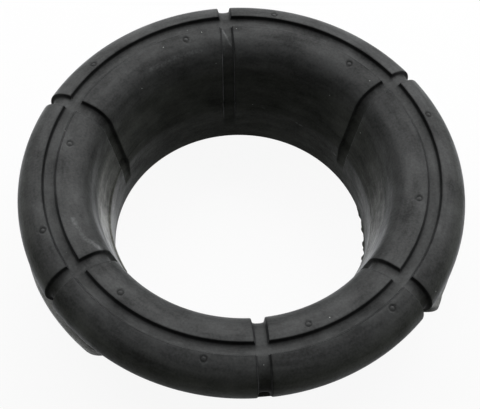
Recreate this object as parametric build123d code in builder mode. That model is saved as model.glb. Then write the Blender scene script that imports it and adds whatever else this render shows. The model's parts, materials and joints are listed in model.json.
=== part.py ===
from build123d import *
from math import asin, cos, degrees, radians, sin, tan
import os

# Coil spring insulator: one moulded rubber ring that sits on the end of a vehicle's coil spring.
# Millimetres and degrees. +Z is up, the foot of the sleeve is at Z = 0 and the ring's axis is Z.

# The seat underneath, where the end coil of the spring lies, and the sleeve inside the coil
coil_radius = 62.5
seat_radius = 6.75
sleeve_draft = 2.0

# The flange round the foot of the shoulder: its lip outside the seat, the gap that the coil leaves by, and
# the stretch before the gap where the rim draws in
flange_bottom = 20.3
flange_thickness = 4.0
flange_lip = 4.55
gap_start = 226.5
gap_end = 322.6
draw_start = 200.0
rim_draw = 1.4

# The rounded top, in section: the shoulder's centre stands over the flange, a little outside the coil
neck_height = 11.9
crest_offset = 1.5
shoulder_arc = 9.8
crown_arc = 38.0
bell_arc = 9.3
undercut_angle = 23.0

# The bore: a wall that narrows downwards, then a lip that stands a little proud of it
bore_radius = 44.8
lip_step = 0.7
lip_height = 20.1
wall_tilt = 12.0
least_crown = 1.0

# The grooves between the pads: one ring over the coil, and six across it
groove_width = 4.5
groove_floor = 3.9
groove_depth = 1.8
groove_count = 6
first_groove = 30.0
shifted_groove = 316.2
groove_stop = 1.5

# The vent marks: a shallow round pit with a button in its middle
mark_radius = 1.2
mark_button = 0.55
mark_depth = 0.35
inner_mark_offset = 4.9
outer_mark_offset = 4.2
inner_mark_turn = 14.6
outer_mark_turn = -15.3
shifted_outer_mark = 307.4

# Rounded edges, and the bevel round the foot's outer side
lip_edge = 0.3
foot_bevel = 1.0
flange_edge = 1.4
seat_edge = 0.8
gap_start_corner = 6.0
gap_end_corner = 0.6

# How far a cutter reaches past the surface that it cuts
clearance = 1.5

# Sizes that follow from those above
crest_radius = coil_radius + crest_offset
outer_radius = crest_radius + shoulder_arc
flange_radius = coil_radius + seat_radius + flange_lip
flange_top = flange_bottom + flange_thickness
shoulder_height = flange_top + neck_height
total_height = shoulder_height + shoulder_arc
shoulder_foot_radius = crest_radius + shoulder_arc * cos(radians(undercut_angle))
shoulder_foot_height = shoulder_height - shoulder_arc * sin(radians(undercut_angle))
neck_radius = shoulder_foot_radius - (shoulder_foot_height - flange_top) * tan(radians(undercut_angle))
wall_radius = bore_radius + lip_step
wall_lean = tan(radians(wall_tilt))
bell_room = (crest_radius - least_crown - wall_radius) - (total_height - lip_height) * wall_lean
bell_radius = min(bell_arc, bell_room / (1 / cos(radians(wall_tilt)) - wall_lean))
sleeve_top_radius = coil_radius - seat_radius
sleeve_foot_radius = sleeve_top_radius - flange_bottom * tan(radians(sleeve_draft))
groove_pitch = 360 / groove_count
regular_grooves = groove_count - 1
groove_flare = (groove_width - groove_floor) / groove_depth
groove_mouth = groove_width + clearance * groove_flare
groove_tip = lip_height - (lip_step + groove_depth / cos(radians(wall_tilt))) / wall_lean


def round_point(radius, angle):
    """The point in plan at a distance and a turn from the ring's axis."""
    return (radius * cos(radians(angle)), radius * sin(radians(angle)))


def pad_line(outer_end, inner_end):
    """Draws the outline over the top, from a height on the undercut to a height on the bore wall."""
    undercut_run = (shoulder_foot_height - outer_end) * tan(radians(undercut_angle))
    Line((shoulder_foot_radius - undercut_run, outer_end), (shoulder_foot_radius, shoulder_foot_height))
    shoulder = CenterArc((crest_radius, shoulder_height), shoulder_arc, -undercut_angle, 90 + undercut_angle)
    crown_circle = CenterArc((crest_radius, total_height - crown_arc), crown_arc, 90, 90, mode=Mode.PRIVATE)
    wall_foot = (wall_radius - (lip_height - inner_end) * wall_lean, inner_end)
    wall = IntersectingLine(wall_foot, (wall_lean, 1), crown_circle)
    RadiusArc(shoulder @ 1, wall @ 1, -crown_arc)
    fillet(vertices().sort_by_distance(wall @ 1)[0], radius=bell_radius)


def top_place(radius):
    """Where the top surface is at a distance from the axis, with Z square to the surface."""
    reach = radius - crest_radius
    arc = shoulder_arc if reach > 0 else crown_arc
    lean = asin(reach / arc)
    return Location((radius, 0, total_height - arc * (1 - cos(lean))), (0, degrees(lean), 0))


# One groove across the top, cut square to the line that it follows from the undercut to the lip
with BuildPart() as cross_groove:
    with BuildLine(Plane.XZ) as groove_line:
        pad_line(flange_top + groove_stop, groove_tip - clearance)
    groove_path = groove_line.wire()
    with BuildSketch(Plane(origin=groove_path @ 0, x_dir=(0, 1, 0), z_dir=groove_path % 0)):
        Polygon(
            (-groove_mouth / 2, -clearance),
            (groove_mouth / 2, -clearance),
            (groove_floor / 2, groove_depth),
            (-groove_floor / 2, groove_depth),
            align=None,
        )
    sweep(path=groove_path)

# The flange from above, with the corners rounded where it stops at the gap
with BuildSketch() as flange_plan:
    with BuildLine():
        root = CenterArc((0, 0), coil_radius, gap_end, 360 + gap_start - gap_end)
        rim = CenterArc((0, 0), flange_radius, gap_end, 360 + draw_start - gap_end)
        drawn_rim = RadiusArc(rim @ 1, round_point(flange_radius - rim_draw, gap_start), -flange_radius)
        Line(root @ 0, rim @ 0)
        Line(root @ 1, drawn_rim @ 1)
    make_face()
    fillet(flange_plan.vertices().sort_by_distance(rim @ 0)[0], radius=gap_end_corner)
    fillet(flange_plan.vertices().sort_by_distance(drawn_rim @ 1)[0], radius=gap_start_corner)

# One vent mark, with the surface that it is pressed into at Z = 0
with BuildPart() as vent_mark:
    with BuildSketch(Plane.XY.offset(-mark_depth)):
        Circle(mark_radius)
        Circle(mark_button, mode=Mode.SUBTRACT)
    extrude(amount=mark_depth + clearance)

with BuildPart() as insulator_ring:
    # The section of the ring, from the sleeve's foot round the seat and the flange to the top and the bore
    with BuildSketch(Plane.XZ) as section:
        with BuildLine():
            Polyline((bore_radius, 0), (sleeve_foot_radius, 0), (sleeve_top_radius, flange_bottom))
            seat = CenterArc((coil_radius, flange_bottom), seat_radius, 0, 180)
            flange_rim = Line((flange_radius, flange_bottom), (flange_radius, flange_top))
            Line(seat @ 0, flange_rim @ 0)
            Line(flange_rim @ 1, (neck_radius, flange_top))
            pad_line(flange_top, lip_height)
            Polyline((wall_radius, lip_height), (bore_radius, lip_height), (bore_radius, 0))
        make_face()
        chamfer(section.vertices().sort_by_distance((sleeve_foot_radius, 0))[0], length=foot_bevel)
        fillet(section.vertices().sort_by_distance((bore_radius, lip_height))[0], radius=lip_edge)
        fillet(section.vertices().sort_by_distance(seat @ 0)[0], radius=seat_edge)
        fillet(section.vertices().sort_by_distance(flange_rim @ 0)[0], radius=flange_edge)
        fillet(section.vertices().sort_by_distance(flange_rim @ 1)[0], radius=flange_edge)
    revolve(axis=Axis.Z)

    # The gap in the flange, back to the middle of the seat
    with BuildSketch(Plane.XY.offset(flange_bottom - clearance)):
        Circle(outer_radius + clearance)
        Circle(coil_radius, mode=Mode.SUBTRACT)
        add(flange_plan.sketch, mode=Mode.SUBTRACT)
    extrude(amount=flange_thickness + clearance, mode=Mode.SUBTRACT)

    # The ring groove
    with BuildSketch(Plane.XZ):
        with Locations((coil_radius, top_place(coil_radius).position.Z)):
            Polygon(
                (-groove_mouth / 2, clearance),
                (groove_mouth / 2, clearance),
                (groove_floor / 2, -groove_depth),
                (-groove_floor / 2, -groove_depth),
                align=None,
            )
    revolve(axis=Axis.Z, mode=Mode.SUBTRACT)

    # The grooves across the top: one of the six is shifted round
    with PolarLocations(0, regular_grooves, first_groove, regular_grooves * groove_pitch):
        add(cross_groove.part, mode=Mode.SUBTRACT)
    with PolarLocations(0, 1, shifted_groove):
        add(cross_groove.part, mode=Mode.SUBTRACT)

    # The vent marks: one on each pad inside the ring groove, and one on each outside it
    with PolarLocations(0, groove_count, first_groove + inner_mark_turn):
        with Locations(top_place(coil_radius - inner_mark_offset)):
            add(vent_mark.part, mode=Mode.SUBTRACT)
    with PolarLocations(0, regular_grooves, first_groove + outer_mark_turn, regular_grooves * groove_pitch):
        with Locations(top_place(coil_radius + outer_mark_offset)):
            add(vent_mark.part, mode=Mode.SUBTRACT)
    with PolarLocations(0, 1, shifted_outer_mark):
        with Locations(top_place(coil_radius + outer_mark_offset)):
            add(vent_mark.part, mode=Mode.SUBTRACT)

insulator_ring.part.label = "insulator_ring"
os.makedirs("parts", exist_ok=True)
export_step(insulator_ring.part, "parts/insulator_ring.step")
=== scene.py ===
import json
import math

import bmesh
import bpy
import numpy as np
from mathutils import Matrix, Vector


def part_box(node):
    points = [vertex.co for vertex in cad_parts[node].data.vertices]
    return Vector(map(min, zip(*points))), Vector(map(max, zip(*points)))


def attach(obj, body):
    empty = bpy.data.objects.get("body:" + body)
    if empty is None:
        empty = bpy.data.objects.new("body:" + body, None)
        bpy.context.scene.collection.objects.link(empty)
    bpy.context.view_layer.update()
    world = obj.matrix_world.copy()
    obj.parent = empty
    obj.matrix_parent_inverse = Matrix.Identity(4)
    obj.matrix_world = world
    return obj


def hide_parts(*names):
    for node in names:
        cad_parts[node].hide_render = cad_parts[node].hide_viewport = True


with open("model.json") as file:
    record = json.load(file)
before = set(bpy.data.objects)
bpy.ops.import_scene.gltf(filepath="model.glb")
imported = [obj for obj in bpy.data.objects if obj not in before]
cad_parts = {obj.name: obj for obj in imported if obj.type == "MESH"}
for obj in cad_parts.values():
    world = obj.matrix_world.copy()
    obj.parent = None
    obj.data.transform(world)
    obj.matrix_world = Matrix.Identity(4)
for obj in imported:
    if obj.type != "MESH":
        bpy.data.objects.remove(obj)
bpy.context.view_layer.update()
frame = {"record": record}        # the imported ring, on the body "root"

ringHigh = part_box("insulator_ring")[1]
boreMount = next(mount for mount in frame["record"]["mounts"] if mount["name"] == "bore")
mm = 0.001
tiny = 1e-6              # angles and distances this close together are the same


def srgbToLinear(hexColour):
    # each channel goes through the sRGB curve, backwards
    channels = [int(hexColour[i:i + 2], 16) / 255 for i in (1, 3, 5)]
    return [c / 12.92 if c <= 0.04045 else ((c + 0.055) / 1.055) ** 2.4 for c in channels] + [1.0]


def addNode(tree, kind, links=None, **settings):
    # settings are the node's own properties, and links fill its sockets with values or other sockets
    node = tree.nodes.new(kind)
    for name, value in settings.items():
        setattr(node, name, value)
    for name, value in (links or {}).items():
        if isinstance(value, bpy.types.NodeSocket):
            tree.links.new(value, node.inputs[name])
        else:
            node.inputs[name].default_value = value
    return node


def newMaterial(name):
    material = bpy.data.materials.new(name)
    material.use_nodes = True
    material.node_tree.nodes.clear()
    return material, material.node_tree


# The ring is one moulded piece of rubber. Its settings are in millimetres and degrees.

ring = {
    "outerR": min(ringHigh.x, ringHigh.y) / mm,
    "height": ringHigh.z / mm,
    "boreR": boreMount["dims"]["r_mm"],
    "shoulderArc": 9.8,
    "crestOffset": 1.5,      # from the coil's circle out to the crest
    "crownArc": 38.0,
    "bellArc": 9.3,
    "bellClear": 0.3,        # the crown's rows start this far out from the bell
    "undercut": 23.0,
    "lipHeight": 20.1,
    "lipStep": 0.7,
    "lipEdge": 0.5,
    "lipCrisp": [190.0, 38.0],   # middle and half width of the stretch where the lip's edge is crisp
    "lipSlope": 3.5,         # elsewhere it runs out over this height
    "lipLoss": 0.85,
    "wallTilt": 12.0,
    "footBevel": 1.0,        # round the sleeve's side of the foot only
    "boreEdge": 0.35,
    "seatR": 6.75,
    "seatEdge": 0.48,        # width of the seat's broken edge
    "sleeveDraft": 2.0,
    "flangeBottom": 20.3,
    "flangeThickness": 4.0,
    "flangeLip": 4.55,
    "flangeEdge": 1.4,
    "flangeLeast": 0.02,     # what is left of it beside the neck at its rounded ends
    "gapStart": 226.5,
    "gapEnd": 317.3,         # at the coil's circle
    "gapSlant": 6.4,         # how much further round the gap goes at the rim
    "gapStartCorner": 6.0,
    "gapEndCorner": 0.6,
    "drawStart": 200.0,
    "rimDraw": 1.4,
    "flashReach": 0.8,       # a lip of flash at the slanted end
    "flashTurn": 5.0,
    "flashCurve": 0.7,
    "slantFade": 10.0,
    "ragStart": 322.0,       # torn flash left on the bore's lower edge
    "ragEnd": 373.0,
    "ragReach": 1.5,
    "ragHeight": 1.2,
    "ragLeast": 0.2,         # waves lower than this leave no tooth
    "ragHump": 0.6,          # a low power makes the hump broad
    "ragWaves": [(19.0, 0.0, 0.6), (43.0, 1.3, 0.4)],   # rate, start and share
    "endSteps": 6,           # rows up each end of the flange
    "cornerColumns": 7,      # round each of the flange's rounded corners
    "columnStep": 1.25,      # widest column, in degrees
    "leastStep": 0.06,       # rows and columns lie no closer than this, in mm and degrees
    "weldDistance": 2e-6,    # in metres, as is the next
    "shortestEdge": 1e-6,
    "sharpAngle": 38.0,
    "grooves": {
        "angles": [30.0, 90.0, 150.0, 210.0, 270.0, 316.2],
        "floorHalf": 1.95,
        "mouthHalf": 2.25,
        "depth": 1.8,
        "stopHeight": 25.8,      # the lower end, on the undercut
        "stopRise": 1.0,
        "softEdge": 0.45,
        "softFloor": 0.24,
        "softEnd": 0.4,          # a groove shallower than this fades out altogether
        "crossBlend": 0.15,      # softness where the grooves cross
        "crossTrim": 0.05,       # takes back most of what that adds where nothing is cut
        "crossTrimRate": 8.0,
        "parallelTo": 4.0,       # columns run parallel to the groove this far from its middle
        "fannedBy": 7.5,         # and are radial again from this angle on
        "across": [0.0, 0.9, 1.6, 1.85, 1.95, 2.03, 2.11, 2.19, 2.28, 2.4, 2.6, 3.1, 4.0],
    },
    "marks": {
        "innerOffset": -4.9,
        "outerOffset": 4.2,
        "innerAngles": [44.6, 104.6, 164.6, 224.6, 284.6, 344.6],
        "outerAngles": [14.7, 74.7, 134.7, 194.7, 254.7, 307.4],
        "pitR": 1.2,
        "buttonR": 0.55,
        "depth": 0.28,
        "softEdge": 0.3,
        "grid": [-1.8, -1.4, -1.1, -0.85, -0.6, -0.35, 0.0, 0.35, 0.6, 0.85, 1.1, 1.4, 1.8],
    },
    "skin": {
        "wallMiddle": 2.08,      # painted shade: the dark line beside a groove's floor, at the foot of its walls
        "wallWidth": 0.34,
        "wallInBore": 0.35,      # share of that painted shade left down the bore
        "grooveEdge": 0.3,       # width over which a share fades in at a groove's side
        "grooveDeep": 0.6,       # depth from which a cross groove's share is full
        "flankShade": 0.75,       # how dark the painted shade makes the whole floor of a cross groove down the outside
        "flankShadeTop": 43.5,
        "flankShadeRise": 5.0,
        "rimLit": [1.0, 0.5],   # painted light on the flange's upper and lower edge
        "rimLitCurve": 3,
        # painted shade: a dark ring inside each mark's pit
        "markMiddle": 0.9,
        "markWidth": 0.25,
        "markShade": 0.8,
        "boreSide": 6.0,         # the bore's skin starts this far inside the crest
        "boreTop": 43.5,         # the bore is painted darker and duller from here down, as shade
        "boreFull": 33.0,
        "flankTop": 45.3,        # and the outside's from here
        "flankFull": 41.0,
        # pale patches low in the bore: on the lit left wall a painted highlight, on the right wall pale wear
        "chalkHighlightTop": 32.3,
        "chalkHighlightFull": 30.2,
        "chalkHighlights": [(193.0, 25.0, 1.0), (338.0, 22.0, 0.55)],   # middle, half width, strength
    },
}
grooves, marks, skin = ring["grooves"], ring["marks"], ring["skin"]


def softMax(a, b, softness):
    # the larger of two with a rounded corner: half of their sum plus the root of their difference squared and
    # the softness squared
    return 0.5 * (a + b + np.sqrt((a - b) ** 2 + softness ** 2))


def risen(value, start, width):
    # a share that grows evenly from 0 at the start to 1 a width further on
    return np.clip((value - start) / width, 0, 1)


def humped(distance, middle, width):
    # a bell curve: e to the power of minus the square of how many widths away the middle is
    return np.exp(-((distance - middle) / width) ** 2)


def turnBetween(angle, other):
    # the difference of two angles, brought between -180 and 180 degrees
    return (angle - other + 180) % 360 - 180


def eased(share):
    # a share that starts and ends gently: three times its square less twice its cube
    return share * share * (3 - 2 * share)


def arcPoints(centre, radius, start, end, count):
    # centre plus radius times the direction, at even steps of angle
    turn = np.radians(np.linspace(start, end, count))
    return np.stack([centre[0] + radius * np.cos(turn), centre[1] + radius * np.sin(turn)], 1)


def linePoints(start, end, count):
    # even steps from one point to the other
    share = np.linspace(0, 1, count)[:, None]
    return np.array(start) * (1 - share) + np.array(end) * share


def ringSizes(ring):
    # the circles and heights that the section's arcs and lines meet at
    s = dict(ring)
    tilt, under = math.radians(s["wallTilt"]), math.radians(s["undercut"])
    s["crestR"] = s["outerR"] - s["shoulderArc"]
    s["coilR"] = s["crestR"] - s["crestOffset"]
    s["shoulderZ"] = s["height"] - s["shoulderArc"]
    s["flangeTop"] = s["flangeBottom"] + s["flangeThickness"]
    s["flangeR"] = s["coilR"] + s["seatR"] + s["flangeLip"]
    s["footR"] = s["crestR"] + s["shoulderArc"] * math.cos(under)
    s["footZ"] = s["shoulderZ"] - s["shoulderArc"] * math.sin(under)
    s["neckR"] = s["footR"] - (s["footZ"] - s["flangeTop"]) * math.tan(under)
    s["wallR"] = s["boreR"] + s["lipStep"]
    s["neckEnd"] = s["gapEnd"] + s["gapSlant"] * (s["neckR"] - s["coilR"]) / (s["flangeR"] - s["coilR"])
    s["rimEnd"] = s["gapEnd"] + s["gapSlant"]
    s["seatTopR"] = s["coilR"] + math.sqrt(s["seatR"] ** 2 - s["flangeThickness"] ** 2)
    # the bell's centre is its own radius from the wall's line, and inside the crown's circle by that radius
    crown = np.array([s["crestR"], s["height"] - s["crownArc"]])
    along, inward = np.array([math.sin(tilt), math.cos(tilt)]), np.array([math.cos(tilt), -math.sin(tilt)])
    start = np.array([s["wallR"], s["lipHeight"]]) + s["bellArc"] * inward - crown
    reach = s["crownArc"] - s["bellArc"]
    rise = -start @ along + math.sqrt((start @ along) ** 2 - start @ start + reach ** 2)
    s["crown"] = crown
    s["bell"] = crown + start + rise * along
    s["bellStart"] = 180 - s["wallTilt"]
    s["bellEnd"] = math.degrees(math.atan2(*(s["bell"] - crown)[::-1]))
    return s


def bothSides():
    # where rows or columns are wanted across a groove
    away = np.array(grooves["across"])
    return np.concatenate([-away[:0:-1], away])


def crownRows(s):
    # distances from the axis where a row is wanted on the crown and the shoulder's top
    markRows = np.array(marks["grid"])
    fixed = [s["coilR"] + bothSides(), s["coilR"] + marks["innerOffset"] + markRows,
             s["coilR"] + marks["outerOffset"] + markRows]
    return np.unique(np.round(np.concatenate(fixed), 3))


def thinned(values, least):
    # leaves out each value that is closer than the least step to the one before it
    kept = [values[0]]
    for value in values[1:]:
        if value - kept[-1] >= least:
            kept.append(value)
    return np.array(kept)


def ringSection(s):
    # the outline in order, as arcs and lines: the bore's lower edge, lip, wall, bell, crown, shoulder,
    # undercut, flange, seat, sleeve and foot
    bevel, boreR, lipZ, lipEdge = s["footBevel"], s["boreR"], s["lipHeight"], s["lipEdge"]
    bellLow, bellTop = (s["bell"] + s["bellArc"] * np.array([math.cos(math.radians(turn)),
                                                             math.sin(math.radians(turn))])
                        for turn in (s["bellStart"], s["bellEnd"]))
    # the crown and the shoulder's top are circles whose height is found at each wanted row
    rows = thinned(crownRows(s), s["leastStep"])
    rows = rows[rows > bellTop[0] + s["bellClear"]]
    stop = s["coilR"] + marks["outerOffset"] + marks["grid"][-1]
    inner, outer = rows[rows <= s["crestR"]], rows[(rows > s["crestR"]) & (rows <= stop)]
    crownTop = s["crown"][1] + np.sqrt(s["crownArc"] ** 2 - (inner - s["crestR"]) ** 2)
    shoulderTop = s["shoulderZ"] + np.sqrt(s["shoulderArc"] ** 2 - (outer - s["crestR"]) ** 2)
    shoulderLeft = math.degrees(math.acos((stop - s["crestR"]) / s["shoulderArc"]))
    seat, seatOut = (s["coilR"], s["flangeBottom"]), s["coilR"] + s["seatR"]
    sleeveR = s["coilR"] - s["seatR"]
    sleeveFoot = sleeveR - s["flangeBottom"] * math.tan(math.radians(s["sleeveDraft"]))
    edge, rimR = s["flangeEdge"], s["flangeR"] - s["flangeEdge"]
    # each part's last number is how many points it has, and a point that two parts share is left out of one
    parts = [
        ("bevel", arcPoints((boreR + s["boreEdge"], s["boreEdge"]), s["boreEdge"], 270, 180, 4)),
        ("lip", linePoints((boreR, s["boreEdge"]), (boreR, lipZ - lipEdge), 21)[1:]),
        ("lipTop", arcPoints((boreR + lipEdge, lipZ - lipEdge), lipEdge, 180, 90, 4)[1:]),
        ("lipTop", linePoints((boreR + lipEdge, lipZ), (s["wallR"], lipZ), 3)[1:]),
        ("top", linePoints((s["wallR"], lipZ), bellLow, 12)[1:]),
        ("top", arcPoints(s["bell"], s["bellArc"], s["bellStart"], s["bellEnd"], 15)[1:]),
        ("top", np.stack([inner, crownTop], 1)),
        ("top", np.stack([outer, shoulderTop], 1)),
        ("top", arcPoints((s["crestR"], s["shoulderZ"]), s["shoulderArc"], shoulderLeft, -s["undercut"],
                          19)[1:]),
        ("top", linePoints((s["footR"], s["footZ"]), (s["neckR"], s["flangeTop"]), 16)[1:]),
        ("flangeTop", linePoints((s["neckR"], s["flangeTop"]), (rimR, s["flangeTop"]), 4)[1:]),
        ("rim", arcPoints((rimR, s["flangeTop"] - edge), edge, 90, 0, 6)[1:]),
        ("rim", arcPoints((rimR, s["flangeBottom"] + edge), edge, 0, -90, 6)),
        ("flangeBottom", linePoints((rimR, s["flangeBottom"]),
                                    (seatOut + s["seatEdge"], s["flangeBottom"]), 4)[1:]),
        ("seatOut", arcPoints(seat, s["seatR"], 5, 80, 12)),
        ("seat", arcPoints(seat, s["seatR"], 90, 180, 12)),
        ("sleeve", linePoints((sleeveR, s["flangeBottom"]), (sleeveFoot, bevel), 8)[1:]),
        ("sleeve", linePoints((sleeveFoot, bevel), (sleeveFoot - bevel, 0), 3)[1:]),
        ("foot", linePoints((sleeveFoot - bevel, 0), (boreR + s["boreEdge"], 0), 5)[1:-1]),
    ]
    zone = np.concatenate([[name] * len(points) for name, points in parts])
    return np.concatenate([points for name, points in parts]), zone


def flangeEnds(s):
    # each end's angle, the radius of its rounded corner, and which way the flange lies: -1 back, 1 on
    return (s["gapStart"], s["gapStartCorner"], -1), (s["neckEnd"], s["gapEndCorner"], 1)


def markRings(s):
    # the radius of each circle of marks, with the angles on it
    return ((s["coilR"] + marks["innerOffset"], marks["innerAngles"]),
            (s["coilR"] + marks["outerOffset"], marks["outerAngles"]))


def ringColumns(s):
    # the angle of each column on the coil's circle: close together at grooves, marks and the flange's ends
    wanted = [middle + np.degrees(np.arcsin(bothSides() / s["coilR"])) for middle in grooves["angles"]]
    for markR, angles in markRings(s):
        wanted += [middle + np.degrees(np.array(marks["grid"]) / markR) for middle in angles]
    wanted = np.sort(np.concatenate(wanted) % 360)
    # a rounded corner of the flange has its columns at even steps of its own quarter circle
    share = 1 - np.cos(np.radians(np.linspace(0, 90, s["cornerColumns"])))
    ends = np.concatenate([at + way * np.degrees(corner * share / s["flangeR"])
                           for at, corner, way in flangeEnds(s)])
    clear = np.abs(wanted[:, None] - ends[None, :]).min(1) > s["leastStep"]
    wanted = np.sort(np.concatenate([thinned(wanted[clear], s["leastStep"]), ends]))
    gaps = np.diff(np.append(wanted, wanted[0] + 360))
    counts = np.ceil(gaps / s["columnStep"]).astype(int)
    filled = [start + gap * np.arange(count) / count for start, gap, count in zip(wanted, gaps, counts)]
    return np.sort(np.concatenate(filled) % 360)


def flangeReach(s, angle):
    # how far out the flange goes at each angle: its radius, less a draw that grows evenly up to the gap, plus
    # a lip of flash after it, and less a quarter circle's height at both ends
    drawn = s["rimDraw"] * risen(angle, s["drawStart"], s["gapStart"] - s["drawStart"])
    flash = s["flashReach"] * np.clip(1 - (angle - s["neckEnd"]) / s["flashTurn"], 0, 1) ** s["flashCurve"]
    reach = s["flangeR"] - np.where(angle <= s["gapStart"] + tiny, drawn, 0)
    reach = reach + np.where(angle >= s["neckEnd"] - tiny, flash, 0)
    for at, corner, way in flangeEnds(s):
        run = np.radians((angle - at) * way) * s["flangeR"]
        left = corner - np.clip(run, 0, corner)
        lost = corner - np.sqrt(np.maximum(corner ** 2 - left ** 2, 0))
        reach = reach - np.where((run >= -tiny) & (run < corner), lost, 0)
    return np.maximum(reach, s["neckR"] + s["flangeLeast"])


def turnedAngle(s, column, radius):
    # each column's angle at a radius: beside a groove it keeps its distance from the groove's middle plane,
    # so it is the arc sine of that distance over the radius, and further off this fades out
    shift = np.zeros(np.broadcast(column, radius).shape)
    edge = np.degrees(np.arcsin(grooves["parallelTo"] / s["coilR"]))
    atEdge = np.degrees(np.arcsin(grooves["parallelTo"] / radius)) - edge
    for middle in grooves["angles"]:
        turn = turnBetween(column, middle)
        off = np.abs(turn)
        away = s["coilR"] * np.sin(np.radians(off))
        inside = np.degrees(np.arcsin(np.clip(away / radius, 0, 1))) - off
        fade = np.clip((grooves["fannedBy"] - off) / (grooves["fannedBy"] - edge), 0, 1)
        shift += np.sign(turn) * np.where(off <= edge, inside, atEdge * fade)
    return column + shift


def grooveShape(distance, depth):
    # a flat floor, sloping walls and rounded corners: the depth less the walls' slope times the distance past
    # the floor's half width, and never less than nothing, with both limits soft
    slope = grooves["depth"] / (grooves["mouthHalf"] - grooves["floorHalf"])
    up = softMax(np.abs(distance) - grooves["floorHalf"], 0, grooves["softFloor"])
    cut = softMax(depth - slope * up, 0, grooves["softEdge"])
    return cut * np.clip(depth / grooves["softEnd"], 0, 1)


def markShape(distance):
    # a shallow pit with a button left in its middle: the depth times an eased share, which is 1 between the
    # button's radius and the pit's
    soft = marks["softEdge"]
    pit = np.clip((marks["pitR"] - distance) / soft + 0.5, 0, 1)
    pit = pit * np.clip((distance - marks["buttonR"]) / soft + 0.5, 0, 1)
    return marks["depth"] * eased(pit)


def raggedEdge(s, angle):
    # teeth of torn flash: two sine waves folded at zero and added, times a hump, which is half a sine wave
    # raised to a power
    along = (angle - s["ragStart"]) % 360 / (s["ragEnd"] - s["ragStart"])
    hump = np.sin(np.pi * np.clip(along, 0, 1)) ** s["ragHump"]
    teeth = sum(share * np.abs(np.sin(along * rate + start)) for rate, start, share in s["ragWaves"])
    return s["ragReach"] * hump * np.clip(teeth - s["ragLeast"], 0, 1)


def flangeSteps(s, column):
    # how far the flange's foot is lifted at each angle: 0 where the flange is whole and 1 where it is gone.
    # At each of its ends the same angle is used several times, with the foot lifted step by step
    steps = np.linspace(0, 1, s["endSteps"] + 1)
    angles, lift = [], []
    for angle in column:
        if abs(angle - s["gapStart"]) < tiny:
            here = steps
        elif abs(angle - s["neckEnd"]) < tiny:
            here = steps[::-1]
        else:
            here = [float(s["gapStart"] < angle < s["neckEnd"])]
        angles.extend([angle] * len(here))
        lift.extend(here)
    return np.array(angles)[None, :], np.array(lift)[None, :]


def flangedRing(s, section, zoned, column, lift):
    # each point's distance from the axis and height: the section's own, with the flange scaled out from the
    # neck to its reach, lifted step by step at its ends and folded away over the gap
    r = np.repeat(section[:, :1], column.shape[1], 1)
    z = np.repeat(section[:, 1:], column.shape[1], 1)
    flange = zoned["flangeTop"] | zoned["rim"] | zoned["flangeBottom"]
    edge, seatOut = s["flangeEdge"], s["coilR"] + s["seatR"]
    straight = s["flangeR"] - edge
    scale = (flangeReach(s, column) - s["neckR"]) / (s["flangeR"] - s["neckR"])
    r = np.where(flange & (r > s["neckR"]), s["neckR"] + (r - s["neckR"]) * scale, r)

    # where the seat and the rim's rounded outline are at the height that the end has reached
    floorZ = s["flangeBottom"] + lift * s["flangeThickness"]
    seatEdgeR = s["coilR"] + np.sqrt(np.maximum(s["seatR"] ** 2 - (floorZ - s["flangeBottom"]) ** 2, 0))
    past = np.maximum(np.maximum(floorZ - s["flangeTop"], s["flangeBottom"] - floorZ) + edge, 0)
    rimAt = straight + np.sqrt(np.maximum(edge ** 2 - past ** 2, 0))
    rimR = s["neckR"] + (rimAt - s["neckR"]) * scale
    rimFoot = s["neckR"] + (straight - s["neckR"]) * scale
    slid = seatEdgeR + (r - seatOut) * (rimR - seatEdgeR) / (rimFoot - seatOut)
    low = z < floorZ
    r = np.where(zoned["flangeBottom"] & (lift > 0), slid, r)
    r = np.where(zoned["rim"] & low, rimR, r)
    r = np.where(zoned["seatOut"] & low, seatEdgeR, r)
    z = np.where((zoned["rim"] | zoned["flangeBottom"] | zoned["seatOut"]) & low, floorZ, z)

    # over the gap the flange's rows lie on the underside, between the seat and the neck
    share = risen(section[:, :1], seatOut, straight - seatOut)
    folded = np.where(zoned["flangeBottom"], s["seatTopR"] + share * (s["neckR"] - s["seatTopR"]), s["neckR"])
    gone = lift == 1
    return np.where(flange & gone, folded, r), np.where(flange & gone, s["flangeTop"], z)


def slantedEnd(s, zoned, column, lift, r):
    # the end of the flange after the gap is slanted: a row turns by the slant times its share of the way from
    # the neck to the rim, and this fades out further round
    fade = np.clip(1 - (column - s["neckEnd"]) / s["slantFade"], 0, 1) * (column >= s["neckEnd"] - tiny)
    out = np.maximum((r - s["neckR"]) / (s["flangeR"] - s["neckR"]), 0) * (lift < 1)
    out = out * (zoned["flangeTop"] | zoned["rim"] | zoned["flangeBottom"] | zoned["seatOut"])
    return (s["rimEnd"] - s["neckEnd"]) * out * fade


def sinkWays(section, lipRows):
    # the direction that each row sinks in: the line between its neighbours, turned by a right angle, and
    # straight outwards on the lip
    along = np.roll(section, -1, 0) - np.roll(section, 1, 0)
    along = along / np.linalg.norm(along, axis=1)[:, None]
    sink = np.stack([along[:, 1], -along[:, 0]], 1)
    sink[lipRows] = (1, 0)
    return sink[:, :1], sink[:, 1:]


def crossDepths(s, section, zoned, lipRows):
    # the cross grooves have one depth on the top, and in the lip they keep the floor's straight line down the
    # wall, so they run out there
    rowR, rowZ = section[:, :1], section[:, 1:]
    tilt = math.radians(s["wallTilt"])
    floorR = s["wallR"] - (s["lipHeight"] - rowZ) * math.tan(tilt) + grooves["depth"] / math.cos(tilt)
    depth = np.where(zoned["top"], grooves["depth"], 0.0)
    depth = np.where(lipRows[:, None], np.maximum(floorR - rowR, 0), depth)
    stop = risen(rowZ, grooves["stopHeight"], grooves["stopRise"])
    return depth * np.where(zoned["top"] & (rowR > s["crestR"]), stop, 1.0)


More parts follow.
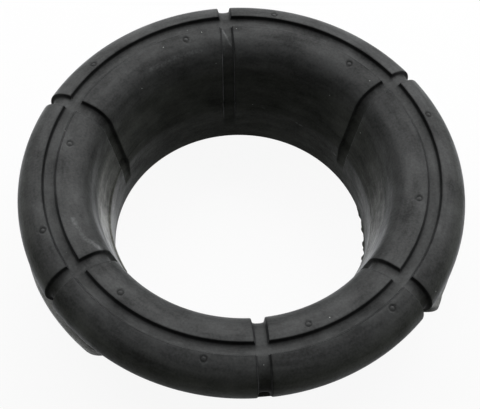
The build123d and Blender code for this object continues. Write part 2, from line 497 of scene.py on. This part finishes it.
def skinFields(s, section, zoned, column, near, crossDepth):
    # shares from 0 to 1: painted shade beside a groove's walls and in the marks, painted shade that darkens
    # and dulls the skin low down, pale chalk and a painted highlight in places, and painted light on the
    # flange
    rowR, rowZ = section[:, :1], section[:, 1:]
    inside = rowR < s["crestR"] - skin["boreSide"]
    bore = np.clip((skin["boreTop"] - rowZ) / (skin["boreTop"] - skin["boreFull"]), 0, 1) * inside
    flank = np.clip((skin["flankTop"] - rowZ) / (skin["flankTop"] - skin["flankFull"]), 0, 1) * ~inside

    # painted shade: a dark line beside each groove's walls
    besideCross, besideRing = (humped(near[name], skin["wallMiddle"], skin["wallWidth"])
                               for name in ("cross", "ring"))
    pastCross, pastRing = (risen(near[name], grooves["floorHalf"], skin["grooveEdge"])
                           for name in ("cross", "ring"))
    deep = np.clip(crossDepth / skin["grooveDeep"], 0, 1)
    wall = np.maximum(besideCross * pastRing * deep, besideRing * pastCross)
    # painted shade in a ring inside each mark's pit
    wall = np.maximum(wall, skin["markShade"] * humped(near["mark"], skin["markMiddle"], skin["markWidth"]))
    # painted shade over the cross grooves' floors low on the outside
    inCross = np.clip((grooves["mouthHalf"] - near["cross"]) / skin["grooveEdge"], 0, 1) * deep
    lowFlank = np.clip((skin["flankShadeTop"] - rowZ) / skin["flankShadeRise"], 0, 1) * ~inside
    wall = np.maximum(wall, skin["flankShade"] * inCross * lowFlank)
    wall = wall * (1 - (1 - skin["wallInBore"]) * bore)

    # pale chalk low in the bore, and on the left wall a painted highlight where the lamps light it
    low = np.clip((skin["chalkHighlightTop"] - rowZ) / (skin["chalkHighlightTop"] - skin["chalkHighlightFull"]), 0, 1) * inside
    chalkAndHighlight = low * sum(strength * humped(turnBetween(column, middle), 0, half)
                      for middle, half, strength in skin["chalkHighlights"])
    # painted light: the flange's upper face and rim are made pale, as if lit
    upper, lower = skin["rimLit"]
    rise = risen(rowZ, s["flangeBottom"], s["flangeThickness"]) ** skin["rimLitCurve"]
    rimLit = lower + (upper - lower) * rise
    flangeLit = np.where(zoned["flangeTop"], 1.0, np.where(zoned["rim"], rimLit, 0.0))
    # painted shade: darker and duller down the bore and low on the outside, but not over the flange's painted
    # light
    dullShade = np.maximum(bore, flank) * (1 - flangeLit)
    return {"wall": wall, "dullShade": dullShade, "chalkAndHighlight": chalkAndHighlight, "flangeLit": flangeLit}


def makeRing(ring):
    # the section is carried round the axis, radius times cosine and sine of the angle, and each point sinks
    # square to the surface by the depth of what is cut there
    s = ringSizes(ring)
    section, zone = ringSection(s)
    rowR, rowZ = section[:, :1], section[:, 1:]
    zoned = {name: (zone == name)[:, None] for name in set(zone)}
    lipRows = (zone == "lip") | (zone == "lipTop") | (zone == "bevel")
    column, lift = flangeSteps(s, ringColumns(s))
    r, z = flangedRing(s, section, zoned, column, lift)
    theta = np.radians(turnedAngle(s, column, r) + slantedEnd(s, zoned, column, lift, r))

    # the depth of the cuts, and how far each point is from the middle of the nearest groove and mark
    far = np.full_like(r, 99.0)
    upper = zoned["top"] & (rowZ > s["shoulderZ"])
    near = {"cross": far, "mark": far, "ring": np.where(upper, np.abs(rowR - s["coilR"]), far)}
    crossDepth = crossDepths(s, section, zoned, lipRows)
    cut = np.zeros_like(r)
    for middle in grooves["angles"]:
        off = theta - math.radians(middle)
        across = np.where(np.cos(off) > 0, np.abs(r * np.sin(off)), far)
        near["cross"] = np.minimum(near["cross"], across)
        cut = np.maximum(cut, grooveShape(across, crossDepth))
    ringCut = np.where(upper, grooveShape(rowR - s["coilR"], grooves["depth"]), 0.0)
    trim = grooves["crossTrim"] * np.exp(-(cut + ringCut) * grooves["crossTrimRate"])
    cut = np.where(upper, softMax(cut, ringCut, grooves["crossBlend"]) - trim, cut)
    for markR, angles in markRings(s):
        for middle in angles:
            turn = (theta - math.radians(middle) + math.pi) % (2 * math.pi) - math.pi
            away = np.where(upper, np.hypot(r - markR, markR * turn), far)
            near["mark"] = np.minimum(near["mark"], away)
            cut = np.maximum(cut, markShape(away))
    skinShares = skinFields(s, section, zoned, column, near, crossDepth)

    # away from its crisp stretch the lip's edge runs out in a slope: the stretch is e to the power of minus
    # the fourth power of how many half widths away its middle is
    middle, half = s["lipCrisp"]
    crisp = np.exp(-(turnBetween(column, middle) / half) ** 4)
    rise = eased(risen(rowZ, s["lipHeight"] - s["lipSlope"], s["lipSlope"]))
    slope = rise * (1 - crisp) * s["lipLoss"] * (zoned["lip"] | zoned["lipTop"])
    r = r + np.maximum(s["wallR"] - r, 0) * slope
    footShare = np.clip(1 - rowZ / s["ragHeight"], 0, 1) * (zoned["bevel"] | zoned["lip"])
    r = r - raggedEdge(s, np.degrees(theta)) * footShare
    sinkR, sinkZ = sinkWays(section, lipRows)
    r, z = r + cut * sinkR, z + cut * sinkZ
    points = np.stack([r * np.cos(theta), r * np.sin(theta), z], 2) * mm
    return gridMesh("coil_insulator", points, skinShares, s)


def gridMesh(name, points, fields, s):
    # rows run round the section and columns round the axis, and both close on themselves
    rows, columns = points.shape[:2]
    index = np.arange(rows * columns).reshape(rows, columns)
    down, right = np.roll(index, -1, 0), np.roll(index, -1, 1)
    faces = np.stack([index, down, np.roll(down, -1, 1), right], 2).reshape(-1, 4)
    mesh = bpy.data.meshes.new(name)
    mesh.vertices.add(rows * columns)
    mesh.vertices.foreach_set("co", points.reshape(-1).astype(np.float32))
    mesh.loops.add(faces.size)
    mesh.loops.foreach_set("vertex_index", faces.reshape(-1).astype(np.int32))
    mesh.polygons.add(len(faces))
    mesh.polygons.foreach_set("loop_start", np.arange(0, faces.size, 4, dtype=np.int32))
    mesh.update(calc_edges=True)
    for field, values in fields.items():
        layer = mesh.attributes.new(field, "FLOAT", "POINT")
        values = np.broadcast_to(values, (rows, columns)).reshape(-1)
        layer.data.foreach_set("value", values.astype(np.float32))
    # the rows that are folded away over the gap fall together there, and are merged
    work = bmesh.new()
    work.from_mesh(mesh)
    bmesh.ops.remove_doubles(work, verts=work.verts, dist=s["weldDistance"])
    bmesh.ops.dissolve_degenerate(work, edges=work.edges, dist=s["shortestEdge"])
    work.to_mesh(mesh)
    work.free()
    mesh.polygons.foreach_set("use_smooth", [True] * len(mesh.polygons))
    mesh.set_sharp_from_angle(angle=math.radians(s["sharpAngle"]))
    piece = bpy.data.objects.new(name, mesh)
    bpy.context.scene.collection.objects.link(piece)
    return piece


# Carbon-filled EPDM rubber, pressed in a steel mould: black with a satin skin, and a faint grey bloom on it
# that shows most at a flat angle. The bloom lies in clouds and in smears along the ring. Painted shade takes
# it away in the grooves' corners and makes the skin darker and duller down the bore and under the shoulder;
# the flange is painted pale as lit, and low in the bore lie pale chalk and a painted highlight.
rubberLook = {
    "ior": 1.50,
    "roughness": 0.58,
    "dullRoughness": 0.72,
    "specular": 0.21,
    "dullSpecular": 0.10,
    "base": "#2a2b2b",
    # painted shade: the darker colour down the bore and under the shoulder
    "dullShadeBase": "#232521",
    # pale colour of those patches: a painted highlight on the left bore wall, wear on the right
    "chalkHighlightBase": "#7b7b76",
    # pale colour painted on the flange as light
    "flangeLitBase": "#929391",
    "speckBase": "#808280",
    # pale colour of the rubbed lines and of the painted lip highlight
    "rubAndHighlightBase": "#8c8e8f",
    "bloom": 0.48,
    "bloomColour": "#f6f8fd",
    "bloomRoughness": 0.3,
    "chalkHighlightBloom": 0.6,
    "flangeLitBloom": 0.5,
    "rubAndHighlightBloom": 0.5,
    "wallLoss": 0.74,        # share of colour, bloom and gloss taken away in a groove's corner, as painted shade
    "cloud": {"Scale": 85.0, "Detail": 3.0, "Roughness": 0.55},     # about 12 mm
    "grain": {"Scale": 1300.0, "Detail": 2.0, "Roughness": 0.6},    # about 0.8 mm, coarse enough to show
    "patch": {"Scale": 420.0, "Detail": 3.0, "Roughness": 0.6},     # about 2.4 mm
    "smear": {"Scale": 1.0, "Detail": 4.0, "Roughness": 0.6},
    "smearAlong": 4.0,       # smears some 15 mm long and 3 mm wide
    "smearAcross": 330.0,
    "grainShare": 0.6,
    "tone": {"From Min": 0.95, "From Max": 1.65, "To Min": 0.55, "To Max": 1.52},
    "chalkHighlightTone": {"From Min": 0.75, "From Max": 1.2, "To Min": 0.4, "To Max": 1.0},
    "speckScale": 230.0,     # one cell in 4.3 mm, few of them with a speck
    "speckSize": 0.045,      # in cells, so a speck is 0.4 mm across
    "speckShare": 0.80,
    "grainDepth": 0.00004,   # in metres, as is the next
    "waveDepth": 0.00035,
    "rubGrain": {"From Min": 0.15, "From Max": 0.6},
    "rubFade": 1.5,          # a rubbed line fades out this many half widths away
    "rubColour": 0.5,        # share of its colour that shows
    "rubsAndHighlights": [
        # pale rubbed lines and a painted highlight in mm: one end, the other end, half width and strength
        ((-55.1, -13.2, 45.2), (-51.7, -20.5, 44.4), 0.8, 0.3),
        ((-51.7, -20.5, 44.4), (-46.5, -24.0, 43.1), 0.9, 0.55),
        ((-1.3, 60.0, 44.2), (1.2, 54.2, 42.3), 0.4, 0.55),
        ((0.4, 57.4, 43.5), (-1.4, 53.2, 41.4), 0.35, 0.4),
        ((-19.8, 49.5, 43.3), (-6.6, 53.2, 43.0), 0.9, 0.25),
        ((-27.5, 45.2, 43.3), (-20.4, 48.8, 43.4), 0.9, 0.2),
        # a painted highlight along the lip's edge at the back right
        ((12.0, 43.2, 18.7), (25.5, 36.8, 15.4), 0.40, 0.5),
        ((25.5, 36.8, 15.4), (37.2, 25.0, 11.7), 0.35, 0.4),
    ],
}


def ringSmears(tree, look, place):
    # noise that is long round the ring and short across it: read at the direction from the axis, the distance
    # from it and the height
    axes = addNode(tree, "ShaderNodeSeparateXYZ", {0: place}).outputs
    flat = addNode(tree, "ShaderNodeCombineXYZ", {"X": axes["X"], "Y": axes["Y"]}).outputs[0]
    away = addNode(tree, "ShaderNodeVectorMath", {0: flat}, operation="LENGTH").outputs["Value"]
    unit = addNode(tree, "ShaderNodeVectorMath", {0: flat}, operation="NORMALIZE").outputs[0]
    turned = addNode(tree, "ShaderNodeVectorMath", {0: unit, "Scale": look["smearAlong"]},
                     operation="SCALE").outputs[0]
    outward, upward = (addNode(tree, "ShaderNodeMath", {0: distance, 1: look["smearAcross"]},
                               operation="MULTIPLY").outputs[0] for distance in (away, axes["Z"]))
    lifted = addNode(tree, "ShaderNodeCombineXYZ", {"Z": outward}).outputs[0]
    along = addNode(tree, "ShaderNodeVectorMath", {0: turned, 1: lifted}, operation="ADD").outputs[0]
    return addNode(tree, "ShaderNodeTexNoise", {"Vector": along, "W": upward, **look["smear"]},
                   noise_dimensions="4D").outputs["Fac"]


def rubsAndHighlightLines(tree, look, place):
    # pale where the distance to the line between two points is small: rubbed lines, and a painted highlight
    # on the lip
    rubAndHighlight = None
    for start, end, half, strength in look["rubsAndHighlights"]:
        start, end = Vector(start) * mm, Vector(end) * mm
        span = end - start
        off = addNode(tree, "ShaderNodeVectorMath", {0: place, 1: start}, operation="SUBTRACT").outputs[0]
        part = addNode(tree, "ShaderNodeVectorMath", {0: off, 1: span / span.length_squared},
                       operation="DOT_PRODUCT").outputs["Value"]
        part = addNode(tree, "ShaderNodeClamp", {"Value": part}).outputs[0]
        foot = addNode(tree, "ShaderNodeVectorMath", {0: span, "Scale": part}, operation="SCALE").outputs[0]
        gap = addNode(tree, "ShaderNodeVectorMath", {0: off, 1: foot}, operation="DISTANCE").outputs["Value"]
        line = addNode(tree, "ShaderNodeMapRange", {"Value": gap, "From Min": half * mm * look["rubFade"],
                                                    "From Max": 0.0, "To Max": strength},
                       interpolation_type="SMOOTHSTEP").outputs[0]
        rubAndHighlight = line if rubAndHighlight is None else addNode(tree, "ShaderNodeMath", {0: rubAndHighlight, 1: line},
                                               operation="MAXIMUM").outputs[0]
    return rubAndHighlight


def paleSpecks(tree, look, place):
    # the middle of a few cells
    cells = addNode(tree, "ShaderNodeTexVoronoi", {"Vector": place, "Scale": look["speckScale"]}).outputs
    few = addNode(tree, "ShaderNodeSeparateColor", {0: cells["Color"]}).outputs[0]
    few = addNode(tree, "ShaderNodeMath", {0: few, 1: look["speckShare"]},
                  operation="GREATER_THAN").outputs[0]
    near = addNode(tree, "ShaderNodeMath", {0: cells["Distance"], 1: look["speckSize"]},
                   operation="LESS_THAN").outputs[0]
    return addNode(tree, "ShaderNodeMath", {0: few, 1: near}, operation="MULTIPLY").outputs[0]


def rubberMaterial(look):
    material, tree = newMaterial("moulded_rubber")
    place = addNode(tree, "ShaderNodeTexCoord").outputs["Object"]
    share = {name: addNode(tree, "ShaderNodeAttribute", attribute_name=name).outputs["Fac"]
             for name in ("wall", "dullShade", "chalkAndHighlight", "flangeLit")}
    cloud, grain, patch = (addNode(tree, "ShaderNodeTexNoise", {"Vector": place, **look[name]}).outputs["Fac"]
                           for name in ("cloud", "grain", "patch"))
    smear = ringSmears(tree, look, place)

    # clouds, smears and grain vary the skin's tone, and most of it is taken away in the grooves' corners as
    # painted shade
    mixed = addNode(tree, "ShaderNodeMath", {0: cloud, 1: smear}, operation="ADD").outputs[0]
    mixed = addNode(tree, "ShaderNodeMath", {0: grain, 1: look["grainShare"], 2: mixed},
                    operation="MULTIPLY_ADD").outputs[0]
    tone = addNode(tree, "ShaderNodeMapRange", {"Value": mixed, **look["tone"]}).outputs[0]
    kept = addNode(tree, "ShaderNodeMath", {0: share["wall"], 1: -look["wallLoss"], 2: 1.0},
                   operation="MULTIPLY_ADD").outputs[0]
    kept = addNode(tree, "ShaderNodeMath", {0: kept, 1: tone}, operation="MULTIPLY").outputs[0]

    # the chalk and painted highlight share is broken up by the smears and by patches, and the rubbed lines
    # and the painted lip highlight by the grain
    broken = addNode(tree, "ShaderNodeMath", {0: smear, 1: patch}, operation="ADD").outputs[0]
    broken = addNode(tree, "ShaderNodeMapRange", {"Value": broken, **look["chalkHighlightTone"]}).outputs[0]
    chalkAndHighlight = addNode(tree, "ShaderNodeMath", {0: share["chalkAndHighlight"], 1: broken}, operation="MULTIPLY").outputs[0]
    patchy = addNode(tree, "ShaderNodeMapRange", {"Value": grain, **look["rubGrain"]}).outputs[0]
    rubAndHighlight = addNode(tree, "ShaderNodeMath", {0: rubsAndHighlightLines(tree, look, place), 1: patchy},
                  operation="MULTIPLY").outputs[0]
    rubAndHighlightTint = addNode(tree, "ShaderNodeMath", {0: rubAndHighlight, 1: look["rubColour"]}, operation="MULTIPLY").outputs[0]

    # each colour is laid on the one before by its own share, and the tone, with the painted shade in the
    # grooves' corners, varies all but the specks
    base = srgbToLinear(look["base"])
    for amount, colour in ((share["dullShade"], "dullShadeBase"), (chalkAndHighlight, "chalkHighlightBase"), (share["flangeLit"], "flangeLitBase"),
                           (rubAndHighlightTint, "rubAndHighlightBase")):
        base = addNode(tree, "ShaderNodeMix", {0: amount, 6: base, 7: srgbToLinear(look[colour])},
                       data_type="RGBA").outputs[2]
    base = addNode(tree, "ShaderNodeMix", {0: 1.0, 6: base, 7: kept}, data_type="RGBA",
                   blend_type="MULTIPLY").outputs[2]
    base = addNode(tree, "ShaderNodeMix", {0: paleSpecks(tree, look, place), 6: base,
                                           7: srgbToLinear(look["speckBase"])}, data_type="RGBA").outputs[2]

    bloom = look["bloom"]
    for amount, extra in ((chalkAndHighlight, "chalkHighlightBloom"), (share["flangeLit"], "flangeLitBloom"), (rubAndHighlight, "rubAndHighlightBloom")):
        bloom = addNode(tree, "ShaderNodeMath", {0: amount, 1: look[extra], 2: bloom},
                        operation="MULTIPLY_ADD").outputs[0]
    gloss, rough = (addNode(tree, "ShaderNodeMapRange", {"Value": share["dullShade"], "To Min": look[plain],
                                                         "To Max": look[dullShade]}).outputs[0]
                    for plain, dullShade in (("specular", "dullSpecular"), ("roughness", "dullRoughness")))
    # the painted shade in the grooves' corners takes bloom and gloss away as well
    bloom, gloss = (addNode(tree, "ShaderNodeMath", {0: amount, 1: kept}, operation="MULTIPLY").outputs[0]
                    for amount in (bloom, gloss))
    wave = addNode(tree, "ShaderNodeBump", {"Height": cloud, "Distance": look["waveDepth"], "Strength": 1.0})
    fine = addNode(tree, "ShaderNodeBump", {"Height": grain, "Distance": look["grainDepth"], "Strength": 1.0,
                                            "Normal": wave.outputs[0]})
    shader = addNode(tree, "ShaderNodeBsdfPrincipled", {
        "Base Color": base,
        "Roughness": rough,
        "IOR": look["ior"],
        "Specular IOR Level": gloss,
        "Sheen Weight": bloom,
        "Sheen Roughness": look["bloomRoughness"],
        "Sheen Tint": srgbToLinear(look["bloomColour"]),
        "Normal": fine.outputs[0],
    })
    addNode(tree, "ShaderNodeOutputMaterial", {"Surface": shader.outputs["BSDF"]})
    return material


insulator = makeRing(ring)
insulator.data.materials.append(rubberMaterial(rubberLook))
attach(insulator, "root")
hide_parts("insulator_ring")
print("ring:", len(insulator.data.vertices), "points,", len(insulator.data.polygons), "faces")


# The stage is a pale floor, a dim plain world and soft lamps.

stage = {
    "floorSize": 6.0,
    "floorDrop": 0.00005,    # just clear of the foot
    "floorColour": "#e4e4e4",
    "floorWhite": 0.92,      # share of plain white that the camera and reflections see in the floor
    "worldStrength": 0.05,
    "worldWhite": 0.95,
    "lampAim": (0, 0, 0.02),
    "lampDistance": 0.9,
    "lampSize": 0.5,
    "lamps": [
        # name, direction round from +X, height angle, watts
        ("backRightLamp", 45, 40, 4.6),
        ("backLamp", 90, 40, 3.5),
        ("backLeftLamp", 135, 43, 3.4),
        ("sideLamp", 0, 27, 1.8),
        ("topLamp", 90, 88, 0.7),
    ],
}


def seenRays(tree):
    # 1 for what the camera sees straight, in a reflection or through glass, and 0 for light falling on things
    ray = addNode(tree, "ShaderNodeLightPath").outputs
    seen = ray["Is Camera Ray"]
    for other in ("Is Glossy Ray", "Is Transmission Ray"):
        seen = addNode(tree, "ShaderNodeMath", {0: seen, 1: ray[other]}, operation="MAXIMUM").outputs[0]
    return seen


def makeFloor(stage):
    half = stage["floorSize"] / 2
    mesh = bpy.data.meshes.new("floor")
    low = -stage["floorDrop"]
    corners = [(-half, -half, low), (half, -half, low), (half, half, low), (-half, half, low)]
    mesh.from_pydata(corners, [], [(0, 1, 2, 3)])
    floor = bpy.data.objects.new("floor", mesh)
    bpy.context.scene.collection.objects.link(floor)
    material, tree = newMaterial("pale_floor")
    paper = addNode(tree, "ShaderNodeBsdfDiffuse", {"Color": srgbToLinear(stage["floorColour"])})
    white = addNode(tree, "ShaderNodeEmission", {"Strength": 1.0})
    share = addNode(tree, "ShaderNodeMath", {0: seenRays(tree), 1: stage["floorWhite"]},
                    operation="MULTIPLY").outputs[0]
    above = addNode(tree, "ShaderNodeMixShader", {0: share, 1: paper.outputs[0], 2: white.outputs[0]})
    # from below the floor is clear, so that the underside can be seen
    clear = addNode(tree, "ShaderNodeBsdfTransparent")
    side = addNode(tree, "ShaderNodeNewGeometry").outputs["Backfacing"]
    either = addNode(tree, "ShaderNodeMixShader", {0: side, 1: above.outputs[0], 2: clear.outputs[0]})
    addNode(tree, "ShaderNodeOutputMaterial", {"Surface": either.outputs[0]})
    mesh.materials.append(material)


def makeWorld(stage):
    world = bpy.data.worlds.new("paleWorld")
    world.use_nodes = True
    tree = world.node_tree
    tree.nodes.clear()
    strength = addNode(tree, "ShaderNodeMapRange", {"Value": seenRays(tree), "To Min": stage["worldStrength"],
                                                    "To Max": stage["worldWhite"]}).outputs[0]
    back = addNode(tree, "ShaderNodeBackground", {"Color": (1, 1, 1, 1), "Strength": strength})
    addNode(tree, "ShaderNodeOutputWorld", {"Surface": back.outputs[0]})
    bpy.context.scene.world = world


def makeLamps(stage):
    for name, turn, lift, watts in stage["lamps"]:
        turn, lift = math.radians(turn), math.radians(lift)
        way = Vector((math.cos(lift) * math.cos(turn), math.cos(lift) * math.sin(turn), math.sin(lift)))
        light = bpy.data.lights.new(name, "AREA")
        light.size = stage["lampSize"]
        light.energy = watts
        lamp = bpy.data.objects.new(name, light)
        lamp.location = way * stage["lampDistance"] + Vector(stage["lampAim"])
        lamp.rotation_euler = way.to_track_quat("Z", "Y").to_euler()
        bpy.context.scene.collection.objects.link(lamp)


makeFloor(stage)
makeWorld(stage)
makeLamps(stage)
print("stage: floor, world and", len(stage["lamps"]), "lamps")


# The camera looks down into the bore from the front.

cameraView = {
    "place": (-0.02307, -0.18788, 0.34219),
    "target": (-0.00157, -0.00947, 0.03987),
    "roll": 1.697,
    "lens": 81.28,
    "sensor": 36.0,
    "clipStart": 0.01,
}


def makeCamera(cameraView):
    data = bpy.data.cameras.new("camera")
    data.lens = cameraView["lens"]
    data.sensor_width = cameraView["sensor"]
    data.clip_start = cameraView["clipStart"]
    camera = bpy.data.objects.new("camera", data)
    place, target = Vector(cameraView["place"]), Vector(cameraView["target"])
    turn = (target - place).to_track_quat("-Z", "Y").to_matrix().to_4x4()
    roll = Matrix.Rotation(math.radians(cameraView["roll"]), 4, "Z")
    camera.matrix_world = Matrix.Translation(place) @ turn @ roll
    bpy.context.scene.collection.objects.link(camera)
    bpy.context.scene.camera = camera


makeCamera(cameraView)
bpy.context.scene.view_settings.view_transform = "Standard"
print("camera: set")
